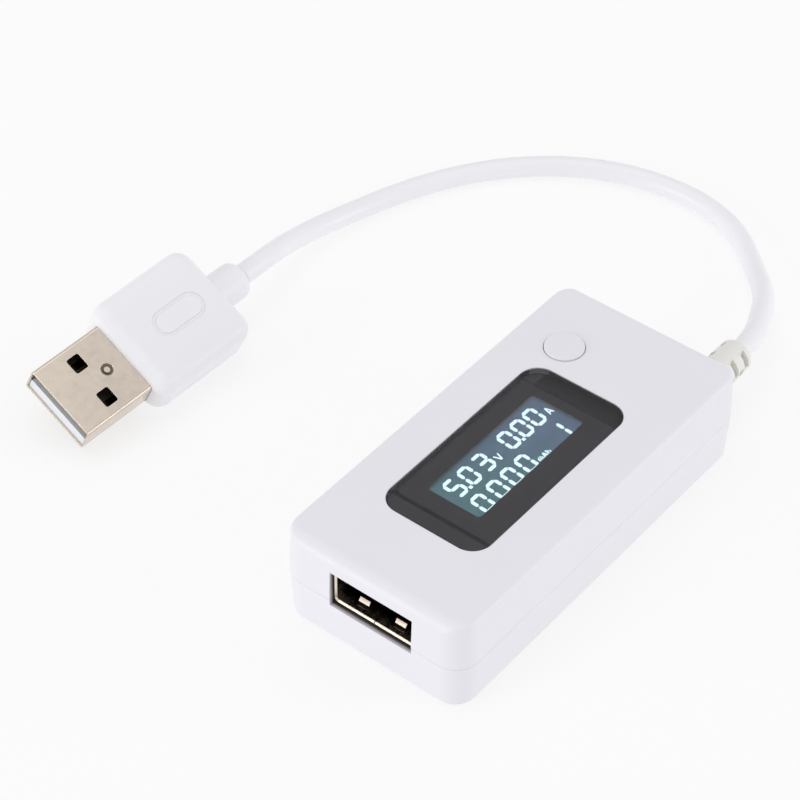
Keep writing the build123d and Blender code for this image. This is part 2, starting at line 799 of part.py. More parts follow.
with BuildPart() as socket_shell:
    with BuildSketch(socket_face):
        RectangleRounded(socket_width, socket_height, 0.6)
        RectangleRounded(inner_width, inner_height, 0.3, mode=Mode.SUBTRACT)
    extrude(amount=-socket_length)
    # Lead-in around the inside of the mouth.
    chamfer(socket_shell.faces().sort_by(Axis.X)[0].inner_wires()[0].edges(), socket_edge)
    # The butt joint of the folded sheet, along the middle of the bottom wall.
    with BuildSketch(Plane.XY.offset(socket_bottom - 0.1)):
        with Locations((socket_front + socket_length / 2, socket_y)):
            Rectangle(socket_length + 1, seam_gap)
    extrude(amount=socket_sheet + 0.2, mode=Mode.SUBTRACT)
    for side in (-1, 1):
        wall_low = socket_centre_z + side * (socket_height / 2 - socket_sheet / 2) - socket_sheet
        with BuildSketch(Plane.XY.offset(wall_low)):
            with Locations(*[(slot_x, socket_y + y) for y in (-finger_y, finger_y)]):
                Rectangle(finger_slot_length, finger_slot_width)
        extrude(amount=2 * socket_sheet, mode=Mode.SUBTRACT)
    add(fingers)
    # Clearance for the contacts' tails at the back of the bottom wall.
    with BuildSketch(Plane.XY.offset(socket_bottom - 0.1)):
        with Locations((socket_leg_x, socket_y)):
            Rectangle(1.2, 9.0)
    extrude(amount=socket_sheet + 0.2, mode=Mode.SUBTRACT)
    # Legs that go through the circuit board.
    for side in (-1, 1):
        with BuildSketch(Plane.XY.offset(board_bottom - 0.8)):
            with Locations((socket_tab_x, socket_y + side * (socket_width - socket_sheet) / 2)):
                Rectangle(2.0, socket_sheet)
        extrude(amount=socket_bottom - board_bottom + 1.8)
socket_shell.part.label = "socket_shell"
export_step(socket_shell.part, "parts/socket_shell.step")

tongue_front = socket_front + tongue_setback
block_front = socket_back - socket_block
contact_front = tongue_front + 0.6
contact_back = socket_leg_x + 0.25
with BuildPart() as socket_tongue:
    with BuildSketch(Plane.YZ.offset(tongue_front)):
        with Locations((socket_y, tongue_underside + tongue_thickness / 2)):
            Rectangle(tongue_width, tongue_thickness)
    extrude(amount=block_front - tongue_front + 0.5)
    chamfer(socket_tongue.faces().sort_by(Axis.X)[0].edges(), tongue_chamfer)
    with BuildSketch(Plane.YZ.offset(block_front)):
        with Locations((socket_y, socket_centre_z)):
            RectangleRounded(inner_width - 0.1, inner_height - 0.1, 0.35)
    extrude(amount=socket_block - 1.9)
    # Grooves under the tongue for the contacts.
    with BuildSketch(Plane.XY.offset(tongue_underside - 0.1)):
        with Locations(*[((contact_front + socket_back) / 2, socket_y + y) for y in contact_y]):
            Rectangle(socket_back - contact_front + 0.2, contact_width + 0.2)
    extrude(amount=0.35, mode=Mode.SUBTRACT)
socket_tongue.part.label = "socket_tongue"
export_step(socket_tongue.part, "parts/socket_tongue.step")

with BuildPart() as socket_contacts:
    with BuildSketch(Plane.XY.offset(tongue_underside - 0.02)):
        with Locations(*[((contact_front + contact_back) / 2, socket_y + y) for y in contact_y]):
            Rectangle(contact_back - contact_front, contact_width)
    extrude(amount=contact_thickness)
    # Tails behind the block, down through the circuit board.
    with BuildSketch(Plane.XY.offset(board_bottom - 0.8)):
        with Locations(*[(socket_leg_x, socket_y + y) for y in contact_y]):
            Rectangle(0.5, 0.7)
    extrude(amount=tongue_underside - board_bottom + 0.8)
socket_contacts.part.label = "socket_contacts"
export_step(socket_contacts.part, "parts/socket_contacts.step")

# ---- strain relief and wires --------------------------------------------------------------

relief_axis = Plane(origin=(0, relief_y, relief_z), x_dir=(0, 1, 0), z_dir=(1, 0, 0))
case_end = case_length / 2
with BuildPart() as strain_relief:
    with BuildSketch(relief_axis.offset(relief_flange_x[0])):
        RectangleRounded(relief_flange, relief_flange, 1.0)
    extrude(amount=relief_flange_x[1] - relief_flange_x[0])
    with BuildSketch(relief_axis.offset(relief_flange_x[1] - 0.1)):
        Circle(relief_neck_radius - 0.03)
    extrude(amount=case_end - relief_flange_x[1] + 0.3)
    with BuildSketch(relief_axis.offset(case_end + 0.1)):
        Circle(relief_root_radius)
    with BuildSketch(relief_axis.offset(relief_end)):
        Circle(relief_end_radius)
    loft()
    fillet(strain_relief.faces().sort_by(Axis.X)[-1].edges(), relief_end_round)
    # Bending slots on both sides of a spine, cut from above and, between those, from below.
    slot_reach = 2 * relief_root_radius
    for slots_x, side in ((relief_upper_slot_x, 1), (relief_lower_slot_x, -1)):
        with BuildSketch(Plane.XY.offset(relief_z - side * relief_slot_overlap)):
            with Locations((0, relief_y - relief_slot_web - slot_reach / 2), (0, relief_y + relief_slot_web + slot_reach / 2)):
                with Locations(*[(x, 0) for x in slots_x]):
                    Rectangle(relief_slot, slot_reach)
        extrude(amount=side * slot_reach, mode=Mode.SUBTRACT)
    with BuildSketch(relief_axis.offset(relief_flange_x[0] - 1)):
        Circle(lead_radius + relief_bore_gap)
    extrude(amount=relief_end - relief_flange_x[0] + 2, mode=Mode.SUBTRACT)
strain_relief.part.label = "strain_relief"
export_step(strain_relief.part, "parts/strain_relief.step")

# The end of the lead inside the strain relief.
with BuildPart() as lead_inner_end:
    with BuildSketch(relief_axis.offset(relief_flange_x[0])):
        Circle(lead_radius)
    extrude(amount=relief_end - relief_flange_x[0])
lead_inner_end.part.label = "lead_inner_end"
export_step(lead_inner_end.part, "parts/lead_inner_end.step")

wire_offsets = ((-0.62, -0.62), (-0.62, 0.62), (0.62, 0.62), (0.62, -0.62))
for name, (dy, dz), pad_y in zip(wire_names, wire_offsets, wire_pad_y):
    start = (relief_flange_x[0], relief_y + dy, relief_z + dz)
    leave = (relief_flange_x[0] - 0.8, relief_y + dy, relief_z + dz)
    over = (wire_pad_x + 1.6, pad_y, board_top + 1.2 + wire_radius)
    end = (wire_pad_x, pad_y, board_top + 0.35 + wire_radius)
    with BuildPart() as wire:
        with BuildLine():
            FilletPolyline(start, leave, over, end, radius=0.6)
        with BuildSketch(Plane(origin=start, x_dir=(0, 1, 0), z_dir=(-1, 0, 0))):
            Circle(wire_radius)
        sweep()
    wire.part.label = "wire_" + name
    export_step(wire.part, "parts/wire_" + name + ".step")

with BuildPart() as solder_joints:
    with BuildSketch(Plane.XY.offset(board_top + solder_lift)):
        with Locations(*[(wire_pad_x - 0.3, y) for y in wire_pad_y]):
            Ellipse(1.0, 0.75)
    extrude(amount=0.3)
solder_joints.part.label = "solder_joints"
export_step(solder_joints.part, "parts/solder_joints.step")

# ---- plug ---------------------------------------------------------------------------------

# The plug's own frame: x towards its nose, z out of its upper face. The plug lies rolled over
# onto one edge of its overmould.
plug_turn = Location(plug_origin, (0, 0, plug_heading)) * Location((0, 0, 0), (0, plug_dip, 0))
plug_turn = plug_turn * Location((0, 0, 0), (plug_roll, 0, 0))
plug_top = Plane(plug_turn)
plug_front = Plane(origin=plug_top.origin, x_dir=plug_top.y_dir, z_dir=plug_top.x_dir)

with BuildPart() as plug_overmould:
    with BuildSketch(plug_top.offset(-overmould_thickness / 2)):
        with Locations((overmould_front - overmould_length / 2, 0)):
            RectangleRounded(overmould_length, overmould_width, overmould_corner)
    extrude(amount=overmould_thickness)
    ends = plug_overmould.faces().filter_by(plug_top).edges()
    fillet(ends, overmould_round)
    with BuildSketch(plug_front.offset(overmould_front - overmould_length - collar_length)):
        Circle(collar_radius)
    extrude(amount=collar_length + 1)
    fillet(plug_overmould.faces().sort_by(Axis(plug_front.origin, plug_front.z_dir))[0].edges(), collar_round)
    # Bore for the shell.
    with BuildSketch(plug_front.offset(-plug_buried)):
        RectangleRounded(plug_shell_width + bore_gap, plug_shell_height + bore_gap, plug_shell_corner)
    extrude(amount=plug_buried + 1, mode=Mode.SUBTRACT)
    # A plain oval line pressed into the upper face.
    with BuildSketch(plug_top.offset(overmould_thickness / 2 - emblem_depth)):
        with Locations((-overmould_length / 2 - emblem_offset, 0)):
            SlotOverall(emblem_length, emblem_width)
            SlotOverall(emblem_length - 2 * emblem_line, emblem_width - 2 * emblem_line, mode=Mode.SUBTRACT)
    extrude(amount=1, mode=Mode.SUBTRACT)
plug_overmould.part.label = "plug_overmould"
export_step(plug_overmould.part, "parts/plug_overmould.step")

plug_inner_width = plug_shell_width - 2 * plug_sheet
plug_inner_height = plug_shell_height - 2 * plug_sheet
with BuildPart() as plug_shell:
    with BuildSketch(plug_front.offset(-plug_buried)):
        RectangleRounded(plug_shell_width, plug_shell_height, plug_shell_corner)
        RectangleRounded(plug_inner_width, plug_inner_height, 0.22, mode=Mode.SUBTRACT)
    extrude(amount=plug_buried + plug_visible)
    fillet(plug_shell.faces().sort_by(Axis(plug_front.origin, plug_front.z_dir))[-1].edges(), plug_edge)
    for side in (-1, 1):
        with BuildSketch(plug_top.offset(side * plug_shell_height / 2 - 1)):
            with Locations((window_x, -window_y), (window_x, window_y)):
                RectangleRounded(window_length, window_width, 0.35)
        extrude(amount=2, mode=Mode.SUBTRACT)
    # A coined dimple in the upper face, with a small boss left in its middle.
    with BuildSketch(plug_top.offset(plug_shell_height / 2 - dimple_depth)):
        with Locations((dimple_x, 0)):
            Circle(dimple_radius)
            Circle(dimple_boss_radius, mode=Mode.SUBTRACT)
    extrude(amount=1, mode=Mode.SUBTRACT)
    with BuildSketch(plug_top.offset(plug_shell_height / 2 - dimple_depth + dimple_boss_rise)):
        with Locations((dimple_x, 0)):
            Circle(dimple_boss_radius)
    extrude(amount=1, mode=Mode.SUBTRACT)
plug_shell.part.label = "plug_shell"
export_step(plug_shell.part, "parts/plug_shell.step")

insulator_mid = -plug_inner_height / 2 + insulator_thickness / 2
plug_contact_middle = plug_visible - plug_contact_setback - plug_contact_length / 2
with BuildPart() as plug_insulator:
    with BuildSketch(plug_front.offset(-plug_buried + 0.5)):
        with Locations((0, insulator_mid)):
            RectangleRounded(plug_inner_width - 0.04, insulator_thickness - 0.04, 0.25)
    extrude(amount=plug_buried - 0.5 + plug_visible - insulator_setback)
    # Grooves for the contacts.
    with BuildSketch(plug_top.offset(insulator_mid + insulator_thickness / 2 - plug_contact_groove)):
        with Locations(*[(plug_contact_middle, y) for y in contact_y]):
            Rectangle(plug_contact_length + 0.1, contact_width + 0.1)
    extrude(amount=1, mode=Mode.SUBTRACT)
plug_insulator.part.label = "plug_insulator"
export_step(plug_insulator.part, "parts/plug_insulator.step")

with BuildPart() as plug_contacts:
    with BuildSketch(plug_top.offset(insulator_mid + insulator_thickness / 2 - plug_contact_groove + 0.01)):
        with Locations(*[(plug_contact_middle, y) for y in contact_y]):
            Rectangle(plug_contact_length, contact_width)
    extrude(amount=plug_contact_sheet)
plug_contacts.part.label = "plug_contacts"
export_step(plug_contacts.part, "parts/plug_contacts.step")

# ---- lead ---------------------------------------------------------------------------------

nose = plug_front.z_dir
collar_end = plug_front.origin + nose * (overmould_front - overmould_length - collar_length)
approach = collar_end - nose * lead_straight
route = [Vector(*point) for point in lead_route] + [approach, collar_end]
radii = corner_radii([tuple(point) for point in route])
print("lead radii (mm):", [round(radius, 1) for radius in radii])

with BuildPart() as lead:
    with BuildLine() as lead_path:
        FilletPolyline(*route, radius=radii)
    with BuildSketch(Plane(origin=route[0], x_dir=(0, 1, 0), z_dir=(1, 0, 0))):
        Circle(lead_radius)
    sweep()
lead.part.label = "lead"
export_step(lead.part, "parts/lead.step")
print("lead length (mm):", round(lead_path.wires()[0].length, 1))
print("lead volume against section times length:",
      round(lead.part.volume / (pi * lead_radius**2 * lead_path.wires()[0].length), 4))
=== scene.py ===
import bpy
import json
import math
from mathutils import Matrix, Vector


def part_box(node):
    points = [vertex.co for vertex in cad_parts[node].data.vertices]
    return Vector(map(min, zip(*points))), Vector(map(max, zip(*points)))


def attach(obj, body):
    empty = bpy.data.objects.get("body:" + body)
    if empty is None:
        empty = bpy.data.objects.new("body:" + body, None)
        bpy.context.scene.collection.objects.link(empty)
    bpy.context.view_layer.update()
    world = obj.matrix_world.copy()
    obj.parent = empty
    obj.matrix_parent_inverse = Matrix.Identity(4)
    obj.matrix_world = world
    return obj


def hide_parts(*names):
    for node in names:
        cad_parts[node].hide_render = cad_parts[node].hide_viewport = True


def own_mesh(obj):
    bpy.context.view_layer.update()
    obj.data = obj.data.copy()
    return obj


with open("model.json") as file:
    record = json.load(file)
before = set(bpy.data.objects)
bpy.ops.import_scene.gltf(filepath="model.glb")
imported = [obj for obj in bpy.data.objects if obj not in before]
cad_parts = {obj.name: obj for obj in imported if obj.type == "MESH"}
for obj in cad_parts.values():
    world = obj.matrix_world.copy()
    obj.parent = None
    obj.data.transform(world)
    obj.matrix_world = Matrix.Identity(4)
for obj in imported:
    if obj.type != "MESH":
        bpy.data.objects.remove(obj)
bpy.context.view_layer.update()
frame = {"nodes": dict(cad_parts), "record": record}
nodes = frame["nodes"]
mounts = {m["name"]: m for m in frame["record"]["mounts"]}
MM = 0.001

# ---- camera -------------------------------------------------------------------------------

CAMERA_AZIMUTH = -51.23
CAMERA_ELEVATION = 43.29
CAMERA_DISTANCE = 390.2 * MM
CAMERA_AIM = Vector((9.55, 27.73, 0)) * MM
CAMERA_LENS = 123.35
CAMERA_SENSOR = 36
NEAREST, FARTHEST = 0.01, 50

azimuth = math.radians(CAMERA_AZIMUTH)
elevation = math.radians(CAMERA_ELEVATION)
towards_camera = Vector((
    math.sin(azimuth) * math.cos(elevation),
    -math.cos(azimuth) * math.cos(elevation),
    math.sin(elevation),
))
camera = bpy.data.objects.new("camera", bpy.data.cameras.new("camera"))
bpy.context.scene.collection.objects.link(camera)
camera.location = CAMERA_AIM + towards_camera * CAMERA_DISTANCE
camera.rotation_mode = "QUATERNION"
camera.rotation_quaternion = (-towards_camera).to_track_quat("-Z", "Y")
camera.data.lens = CAMERA_LENS
camera.data.sensor_width = CAMERA_SENSOR
camera.data.clip_start = NEAREST
camera.data.clip_end = FARTHEST
bpy.context.scene.camera = camera

# ---- the lead -----------------------------------------------------------------------------

LEAD_DIAMETER = 3.2 * MM
PLUG_LENGTH = 35.95 * MM
COLLAR_RUN = 5.5 * MM

# The same route as the CAD tube: straight out of the strain relief, down to the floor, round
# in one loose arc and up into the plug's collar.
LEAD_ROUTE = [
    (40.6, -8.3, 7.4),
    (44.8, -8.3, 7.4),
    (51.7, -5.3, 5.8),
    (57.9, -2.0, 3.4),
    (63.6, 3.4, 1.62),
    (69.4, 10.2, 1.62),
    (71.9, 19.0, 1.62),
    (71.0, 28.6, 1.62),
    (67.4, 37.6, 1.62),
    (61.3, 45.4, 1.62),
    (53.6, 51.4, 1.62),
    (45.2, 55.6, 1.62),
    (36.6, 58.4, 1.7),
    (28.4, 59.4, 3.0),
    (20.6, 58.7, 5.3),
]

plug_tip = Vector(mounts["input_plug"]["pos_m"])
plug_nose = Vector(mounts["input_plug"]["axis"])
collar_end = plug_tip - plug_nose * PLUG_LENGTH
approach = collar_end - plug_nose * COLLAR_RUN
route = [Vector(point) * MM for point in LEAD_ROUTE] + [approach, collar_end]


def link(name, data):
    piece = bpy.data.objects.new(name, data)
    bpy.context.scene.collection.objects.link(piece)
    return piece


# The lead follows one smooth spline with the route's points as its control points.
route_curve = bpy.data.curves.new("lead_route", "CURVE")
route_curve.dimensions = "3D"
spline = route_curve.splines.new("NURBS")
spline.points.add(len(route) - 1)
for point, place in zip(spline.points, route):
    point.co = (*place, 1)
spline.order_u = 3
spline.use_endpoint_u = True
spline.resolution_u = 16
line_mesh = bpy.data.meshes.new_from_object(bpy.data.objects.new("lead_route", route_curve))
lead_line = [vertex.co.copy() for vertex in line_mesh.vertices]

TUBE_SIDES = 32


def tube_mesh(name, line, radius):
    """A closed round tube along a line of points, with rings that don't twist."""
    vertices, faces = [], []
    side = Vector((0, 0, 1))
    for i, centre in enumerate(line):
        along = (line[min(i + 1, len(line) - 1)] - line[max(i - 1, 0)]).normalized()
        side = (side - along * side.dot(along)).normalized()
        other = along.cross(side)
        for k in range(TUBE_SIDES):
            turn = 2 * math.pi * k / TUBE_SIDES
            vertices.append(centre + (side * math.cos(turn) + other * math.sin(turn)) * radius)
    for i in range(len(line) - 1):
        here, after = i * TUBE_SIDES, (i + 1) * TUBE_SIDES
        for k in range(TUBE_SIDES):
            m = (k + 1) % TUBE_SIDES
            faces.append((here + k, here + m, after + m, after + k))
    last = (len(line) - 1) * TUBE_SIDES
    faces.append(tuple(reversed(range(TUBE_SIDES))))
    faces.append(tuple(last + k for k in range(TUBE_SIDES)))
    mesh = bpy.data.meshes.new(name)
    mesh.from_pydata(vertices, [], faces)
    for polygon in mesh.polygons:
        polygon.use_smooth = len(polygon.vertices) == 4
    return mesh


lead = link("lead_jacket", tube_mesh("lead_jacket", lead_line, LEAD_DIAMETER / 2))
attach(lead, "housing")
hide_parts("lead")

# ---- materials ----------------------------------------------------------------------------


def new_material(name):
    """A node material with a Principled shader; returns the material, its tree and the shader."""
    material = bpy.data.materials.new(name)
    material.use_nodes = True
    tree = material.node_tree
    shader = tree.nodes["Principled BSDF"]
    return material, tree, shader


def noise(tree, scale, detail=2, roughness=0.5):
    """A noise texture over the object's own coordinates; scale is in cycles to a metre."""
    place = tree.nodes.new("ShaderNodeTexCoord")
    texture = tree.nodes.new("ShaderNodeTexNoise")
    texture.inputs["Scale"].default_value = scale
    texture.inputs["Detail"].default_value = detail
    texture.inputs["Roughness"].default_value = roughness
    tree.links.new(place.outputs["Object"], texture.inputs["Vector"])
    return texture.outputs["Fac"]


def spread(tree, value, low, high, from_low=0.3, from_high=0.7):
    """Maps a texture value onto a range."""
    node = tree.nodes.new("ShaderNodeMapRange")
    node.inputs["From Min"].default_value = from_low
    node.inputs["From Max"].default_value = from_high
    node.inputs["To Min"].default_value = low
    node.inputs["To Max"].default_value = high
    tree.links.new(value, node.inputs["Value"])
    return node.outputs["Result"]


def blend_colours(tree, factor, first, second):
    """A colour that runs from first to second with the factor."""
    ramp = tree.nodes.new("ShaderNodeValToRGB")
    ramp.color_ramp.elements[0].color = (*first, 1)
    ramp.color_ramp.elements[1].color = (*second, 1)
    tree.links.new(factor, ramp.inputs["Fac"])
    return ramp.outputs["Color"]


def bump(tree, shader, height, distance, below=None):
    """Bumps the surface by a height field, with the distance in metres."""
    node = tree.nodes.new("ShaderNodeBump")
    node.inputs["Strength"].default_value = 1.0
    node.inputs["Distance"].default_value = distance
    tree.links.new(height, node.inputs["Height"])
    if below is not None:
        tree.links.new(below, node.inputs["Normal"])
    tree.links.new(node.outputs["Normal"], shader.inputs["Normal"])
    return node.outputs["Normal"]


def soft_edges(tree, radius):
    """The normal rounded over edges by a small radius, in metres."""
    node = tree.nodes.new("ShaderNodeBevel")
    node.samples = 4
    node.inputs["Radius"].default_value = radius
    return node.outputs["Normal"]


def edge_wear_and_highlight(tree, rounded):
    """From 0 on flats to 1 on edges: how far the rounded normal leans from the face's own."""
    geometry = tree.nodes.new("ShaderNodeNewGeometry")
    lean = tree.nodes.new("ShaderNodeVectorMath")
    lean.operation = "DOT_PRODUCT"
    tree.links.new(rounded, lean.inputs[0])
    tree.links.new(geometry.outputs["Normal"], lean.inputs[1])
    return spread(tree, lean.outputs["Value"], 1, 0, 0.85, 0.99)


def depth_along(tree, origin, direction, start, end):
    """From 0 to 1 as a point moves from start to end along a direction, in metres."""
    place = tree.nodes.new("ShaderNodeTexCoord")
    shift = tree.nodes.new("ShaderNodeVectorMath")
    shift.operation = "SUBTRACT"
    shift.inputs[1].default_value = origin
    tree.links.new(place.outputs["Object"], shift.inputs[0])
    project = tree.nodes.new("ShaderNodeVectorMath")
    project.operation = "DOT_PRODUCT"
    project.inputs[1].default_value = direction
    tree.links.new(shift.outputs["Vector"], project.inputs[0])
    step = tree.nodes.new("ShaderNodeMapRange")
    step.interpolation_type = "SMOOTHSTEP"
    step.inputs["From Min"].default_value = start
    step.inputs["From Max"].default_value = end
    tree.links.new(project.outputs["Value"], step.inputs["Value"])
    return step.outputs["Result"]


def mix_colours(tree, factor, first, second):
    """Mixes a linked colour with another linked or fixed colour."""
    mix = tree.nodes.new("ShaderNodeMix")
    mix.data_type = "RGBA"
    tree.links.new(factor, mix.inputs["Factor"])
    for socket, value in ((mix.inputs["A"], first), (mix.inputs["B"], second)):
        if isinstance(value, tuple):
            socket.default_value = (*value, 1)
        else:
            tree.links.new(value, socket)
    return mix.outputs["Result"]


def joined(tree, operation, first, second):
    """A maths node over two linked values, or a linked value and a number."""
    node = tree.nodes.new("ShaderNodeMath")
    node.operation = operation
    for socket, value in zip(node.inputs, (first, second)):
        if isinstance(value, (int, float)):
            socket.default_value = value
        else:
            tree.links.new(value, socket)
    return node.outputs["Value"]


def inside(tree, low, high):
    """1 inside an upright box given by two corners, 0 outside."""
    place = tree.nodes.new("ShaderNodeTexCoord")
    axes = tree.nodes.new("ShaderNodeSeparateXYZ")
    tree.links.new(place.outputs["Object"], axes.inputs["Vector"])
    result = 1.0
    for axis, a, b in zip("XYZ", low, high):
        above = joined(tree, "GREATER_THAN", axes.outputs[axis], a)
        below = joined(tree, "LESS_THAN", axes.outputs[axis], b)
        result = joined(tree, "MULTIPLY", joined(tree, "MULTIPLY", above, below), result)
    return result


def scaled(colour, factor):
    """A colour made lighter or darker."""
    return tuple(min(1, c * factor) for c in colour)


# What the plastics and the metals share: cycles to a metre, and heights in metres.
CLOUD_SCALE, GLOSS_SCALE, WAVE_SCALE, GRAIN_SCALE = 60, 350, 90, 5200
WAVE_HEIGHT, GRAIN_HEIGHT = 6e-6, 3e-6
# The plastics' edges are painted a little lighter: partly wear, partly painted highlight.
CLOUD_DARK, EDGE_LIGHT = 0.97, 1.03
SKIN_DEPTH, SKIN_TINT = 0.0006, (1.0, 0.95, 0.9)
STAIN_SCALE, STREAK_SCALE, PIT_SCALE, PIT_HEIGHT = 240, 900, 2600, 1.5e-6
# The metals' edges are painted brighter: partly rubbed wear, partly painted highlight.
STAIN_DARK, RUBBED_AND_HIGHLIGHT_EDGE = 0.86, 1.2
FINE_EDGE, EDGE, CASE_EDGE = 0.08 * MM, 0.12 * MM, 0.16 * MM


def moulded_plastic(name, colour, rough, grain=GRAIN_SCALE, grain_height=GRAIN_HEIGHT,
                    subsurface=0.0, round_edge=FINE_EDGE, depth_shade=None, pocket=None):
    """Spark-grained moulded plastic: fine grain, faint clouding, edges a little lighter, partly as wear
    and partly as painted highlight.

    depth_shade is an optional (origin, direction, start, end, colour) that paints shade into a
    recess, darker with depth, and pocket an optional (low corner, high corner) that limits it."""
    material, tree, shader = new_material(name)
    cloudy = blend_colours(tree, noise(tree, CLOUD_SCALE, 3), scaled(colour, CLOUD_DARK), colour)
    rounded = soft_edges(tree, round_edge)
    surface = mix_colours(tree, edge_wear_and_highlight(tree, rounded), cloudy, scaled(colour, EDGE_LIGHT))
    if depth_shade:
        factor = depth_along(tree, *depth_shade[:4])
        if pocket:
            factor = joined(tree, "MULTIPLY", factor, inside(tree, *pocket))
        surface = mix_colours(tree, factor, surface, depth_shade[4])
    tree.links.new(surface, shader.inputs["Base Color"])
    gloss = spread(tree, noise(tree, GLOSS_SCALE, 4), rough - 0.05, rough + 0.06)
    tree.links.new(gloss, shader.inputs["Roughness"])
    fine = bump(tree, shader, noise(tree, grain, 2), grain_height, below=rounded)
    bump(tree, shader, noise(tree, WAVE_SCALE, 2), WAVE_HEIGHT, below=fine)
    if subsurface:
        shader.inputs["Subsurface Weight"].default_value = subsurface
        shader.inputs["Subsurface Radius"].default_value = SKIN_TINT
        shader.inputs["Subsurface Scale"].default_value = SKIN_DEPTH
    return material


def plated_metal(name, colour, rough, round_edge=FINE_EDGE, depth_shade=None, ring=None):
    """Plated sheet: streaky roughness, faint stains, brighter edges, partly rubbed wear and partly
    painted highlight.

    depth_shade is an optional (origin, direction, start, end, colour) that paints shade into a
    recess, darker with depth, and ring is an optional (centre, inner radius, outer radius, colour)
    of a groove painted dark as shade."""
    material, tree, shader = new_material(name)
    shader.inputs["Metallic"].default_value = 1.0
    stained = blend_colours(tree, noise(tree, STAIN_SCALE, 4, 0.6), scaled(colour, STAIN_DARK), colour)
    rounded = soft_edges(tree, round_edge)
    surface = mix_colours(tree, edge_wear_and_highlight(tree, rounded), stained, scaled(colour, RUBBED_AND_HIGHLIGHT_EDGE))
    if depth_shade:
        surface = mix_colours(tree, depth_along(tree, *depth_shade[:4]), surface, depth_shade[4])
    if ring:
        centre, inner, outer, groove = ring
        place = tree.nodes.new("ShaderNodeTexCoord")
        away = tree.nodes.new("ShaderNodeVectorMath")
        away.operation = "DISTANCE"
        away.inputs[1].default_value = centre
        tree.links.new(place.outputs["Object"], away.inputs[0])
        beyond = joined(tree, "GREATER_THAN", away.outputs["Value"], inner)
        within = joined(tree, "LESS_THAN", away.outputs["Value"], outer)
        surface = mix_colours(tree, joined(tree, "MULTIPLY", beyond, within), surface, groove)
    tree.links.new(surface, shader.inputs["Base Color"])
    gloss = spread(tree, noise(tree, STREAK_SCALE, 3, 0.6), rough - 0.05, rough + 0.08)
    tree.links.new(gloss, shader.inputs["Roughness"])
    bump(tree, shader, noise(tree, PIT_SCALE, 3), PIT_HEIGHT, below=rounded)
    return material


plug_mouth = (plug_tip, -plug_nose)
socket_pos = Vector(mounts["meter_socket"]["pos_m"])
INWARD = Vector((1, 0, 0))
# The dimple's place on the upper face of the plug's shell.
PLUG_UP = Vector((-0.068, -0.454, 0.889))
DIMPLE_BACK, DIMPLE_UP = 8.9 * MM, 2.2 * MM
DIMPLE_BOSS, DIMPLE_RADIUS = 0.45 * MM, 0.93 * MM
dimple = plug_tip - plug_nose * DIMPLE_BACK + PLUG_UP * DIMPLE_UP
# The cut faces of the housing around the socket's mouth lie in shade, which is painted on them as a dark
# colour.
MOUTH_REACH = Vector((2.5, 6.73, 3.1)) * MM
MOUTH_SHADE = (-0.72 * MM, -0.1 * MM, (0.055, 0.042, 0.04))
# Shade painted with depth on the socket's shell, the plug's insulator and the plug's contacts: where it
# begins, where it is full, and its colour.
SOCKET_SHADE = (0.5 * MM, 2.6 * MM, (0.06, 0.035, 0.028))
INSULATOR_SHADE = (1.6 * MM, 4.2 * MM, (0.03, 0.021, 0.016))
CONTACT_SHADE = (2.2 * MM, 5.0 * MM, (0.05, 0.035, 0.02))
mouth_pocket = (socket_pos - MOUTH_REACH, socket_pos + MOUTH_REACH)
WHITE = (0.80, 0.795, 0.845)
SOFT_WHITE = (0.86, 0.855, 0.895)
NICKEL = (0.74, 0.65, 0.56)
# The housing's plastic carries painted shade on the cut faces at the socket's mouth.
case_white = moulded_plastic("case_plastic", WHITE, 0.42, round_edge=CASE_EDGE,
                             depth_shade=(socket_pos, INWARD, *MOUTH_SHADE),
                             pocket=mouth_pocket)
button_white = moulded_plastic("button_plastic", scaled(WHITE, 0.99), 0.36, grain_height=2e-6)
soft_white = moulded_plastic("plug_vinyl", SOFT_WHITE, 0.36, grain=2600,
                             subsurface=0.15, round_edge=EDGE)
jacket_white = moulded_plastic("lead_jacket", SOFT_WHITE, 0.32, grain=1800, subsurface=0.15)
relief_white = moulded_plastic("relief_rubber", (0.80, 0.785, 0.75), 0.45,
                               subsurface=0.15, round_edge=EDGE)
# The ring round the dimple's boss is painted dark as shade in its groove.
nickel = plated_metal("nickel_plate", NICKEL, 0.2, round_edge=EDGE,
                      ring=(dimple, DIMPLE_BOSS, DIMPLE_RADIUS, (0.16, 0.13, 0.11)))
# The inside of the socket's shell is painted darker with depth as shade.
socket_nickel = plated_metal("nickel_plate_inside", scaled(NICKEL, 1.2), 0.25,
                             depth_shade=(socket_pos, INWARD, *SOCKET_SHADE))
steel = plated_metal("switch_metal", (0.62, 0.61, 0.60), 0.3)
tin = plated_metal("tinned_metal", (0.66, 0.66, 0.65), 0.35)
# The contacts are painted darker with depth into the plug as shade.
gold = plated_metal("gold_plate", (0.83, 0.58, 0.25), 0.22,
                    depth_shade=(*plug_mouth, *CONTACT_SHADE))
black_plastic = moulded_plastic("tongue_plastic", (0.012, 0.012, 0.012), 0.4)
switch_black = moulded_plastic("switch_plastic", (0.03, 0.03, 0.03), 0.45)
ink = moulded_plastic("border_ink", (0.082, 0.077, 0.083), 0.5, grain_height=1e-6)
carrier_dark = moulded_plastic("carrier_plastic", (0.12, 0.12, 0.13), 0.5)
# The insulator is painted dark towards the back of the plug as shade; its front lip keeps its white.
insulator_white = moulded_plastic("insulator_plastic", (0.78, 0.80, 0.84), 0.4,
                                  depth_shade=(*plug_mouth, *INSULATOR_SHADE))

